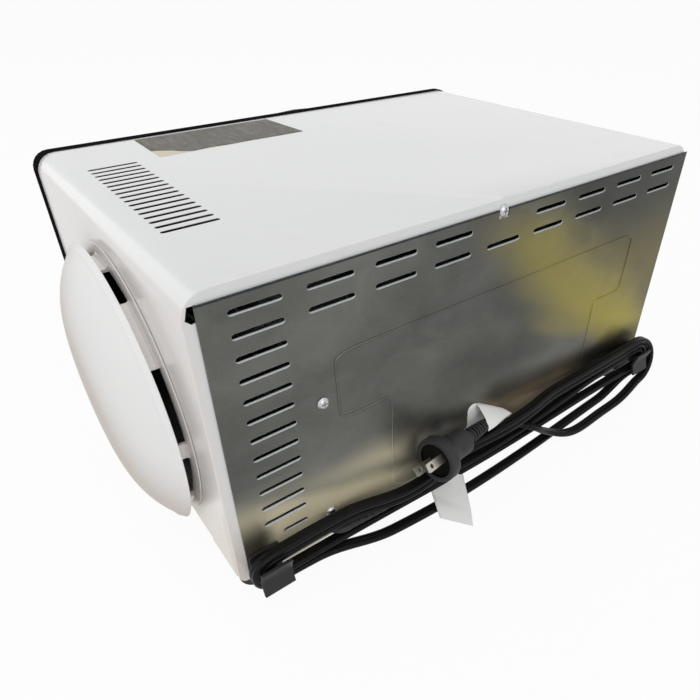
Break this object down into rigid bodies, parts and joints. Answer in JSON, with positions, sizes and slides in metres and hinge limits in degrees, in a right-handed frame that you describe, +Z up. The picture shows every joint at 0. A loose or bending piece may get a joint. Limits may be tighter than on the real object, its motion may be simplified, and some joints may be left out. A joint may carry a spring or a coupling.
{
  "type": "countertop convection oven",
  "caption": "Countertop convection oven with a drop-down glass door, side-mounted fan under a domed cover, slotted rear sheet and a flat cord wound on two rear cleats.",
  "frame": {"origin": "Middle of the footprint on the surface that the oven stands on, without the power cord and its plug.", "axes": "+Z up; the door and the knobs face -Y; the domed fan cover and the control side are on +X; the rear sheet with the cord cleats faces +Y."},
  "size_m": [0.4416, 0.3708, 0.2149],
  "materials": {
    "white_enamel": "gloss white enamel",
    "black_paint": "semi-gloss black",
    "galvanised": "spangled zinc-coated sheet",
    "steel": "satin",
    "dark_steel": "dark satin",
    "black_plastic": "satin",
    "black_cord": "smooth vinyl",
    "glass": "clear, slightly grey",
    "quartz": "frosted",
    "amber_lens": "translucent amber",
    "copper": "enamelled winding",
    "paper": "uncoated white"
  },
  "bodies": {
    "oven": {"outer_shell": "white_enamel", "rear_panel": "galvanised", "base_pan": "galvanised", "front_frame": "black_paint", "cavity_left_wall": "galvanised", "cavity_right_wall": "galvanised", "cavity_ceiling": "galvanised", "cavity_rear_wall": "galvanised", "heating_element_lower_front": "quartz", "heating_element_lower_rear": "quartz", "heating_element_upper_front": "quartz", "heating_element_upper_rear": "quartz", "hinge_pin_left": "steel", "hinge_pin_right": "steel", "control_panel": "steel", "timer": "dark_steel", "function_switch": "dark_steel", "thermostat": "dark_steel", "pilot_lamp": "amber_lens", "fan_guard": "galvanised", "fan_housing": "galvanised", "motor_bracket": "galvanised", "motor_core": "dark_steel", "motor_coil": "copper", "vent_ring": "white_enamel", "fan_cover": "white_enamel", "foot_front_left": "black_plastic", "foot_rear_left": "black_plastic", "foot_front_right": "black_plastic", "foot_rear_right": "black_plastic", "panel_screw_upper": "steel", "panel_screw_lower": "steel", "tab_screw": "steel", "cord_cleat_control_side": "black_plastic", "cord_cleat_plain_side": "black_plastic", "cord_outlet": "black_plastic", "cord_winding": "black_cord", "cord_tail": "black_cord", "plug_body": "black_plastic", "plug_blade_a": "steel", "plug_blade_b": "steel", "cord_tag": "paper"},
    "door": {"door_frame": "black_paint", "door_glass": "glass", "door_handle": "black_plastic"},
    "rack": {"wire_rack": "steel", "bake_pan": "dark_steel"},
    "crumb_tray": {"crumb_tray": "steel"},
    "temperature_knob": {"temperature_knob": "black_plastic"},
    "function_knob": {"function_knob": "black_plastic"},
    "timer_knob": {"timer_knob": "black_plastic"},
    "fan_rotor": {"fan_blade": "steel", "fan_shaft": "steel", "cooling_blade": "dark_steel"}
  },
  "joints": [
    {"name": "door_hinge", "type": "hinge", "parent": "oven", "child": "door", "pos_m": [-0.05785, -0.13475, 0.047], "axis": [1, 0, 0], "range_deg": [0, 88]},
    {"name": "rack_slide", "type": "slide", "parent": "oven", "child": "rack", "axis": [0, -1, 0], "range_m": [0, 0.075]},
    {"name": "crumb_tray_slide", "type": "slide", "parent": "oven", "child": "crumb_tray", "axis": [0, -1, 0], "range_m": [0, 0.11]},
    {"name": "temperature_knob_turn", "type": "hinge", "parent": "oven", "child": "temperature_knob", "pos_m": [0.14015, -0.13475, 0.168], "axis": [0, 1, 0], "range_deg": [0, 270]},
    {"name": "function_knob_turn", "type": "hinge", "parent": "oven", "child": "function_knob", "pos_m": [0.14015, -0.13475, 0.116], "axis": [0, 1, 0], "range_deg": [0, 180]},
    {"name": "timer_knob_turn", "type": "hinge", "parent": "oven", "child": "timer_knob", "pos_m": [0.14015, -0.13475, 0.064], "axis": [0, 1, 0], "range_deg": [0, 300]},
    {"name": "fan_spin", "type": "hinge", "parent": "oven", "child": "fan_rotor", "pos_m": [0.10215, 0.03115, 0.1007], "axis": [1, 0, 0], "continuous": true}
  ],
  "couplings": [
    {"joint": "rack_slide", "follows": "door_hinge", "m_per_rad": 0.04883}
  ]
}
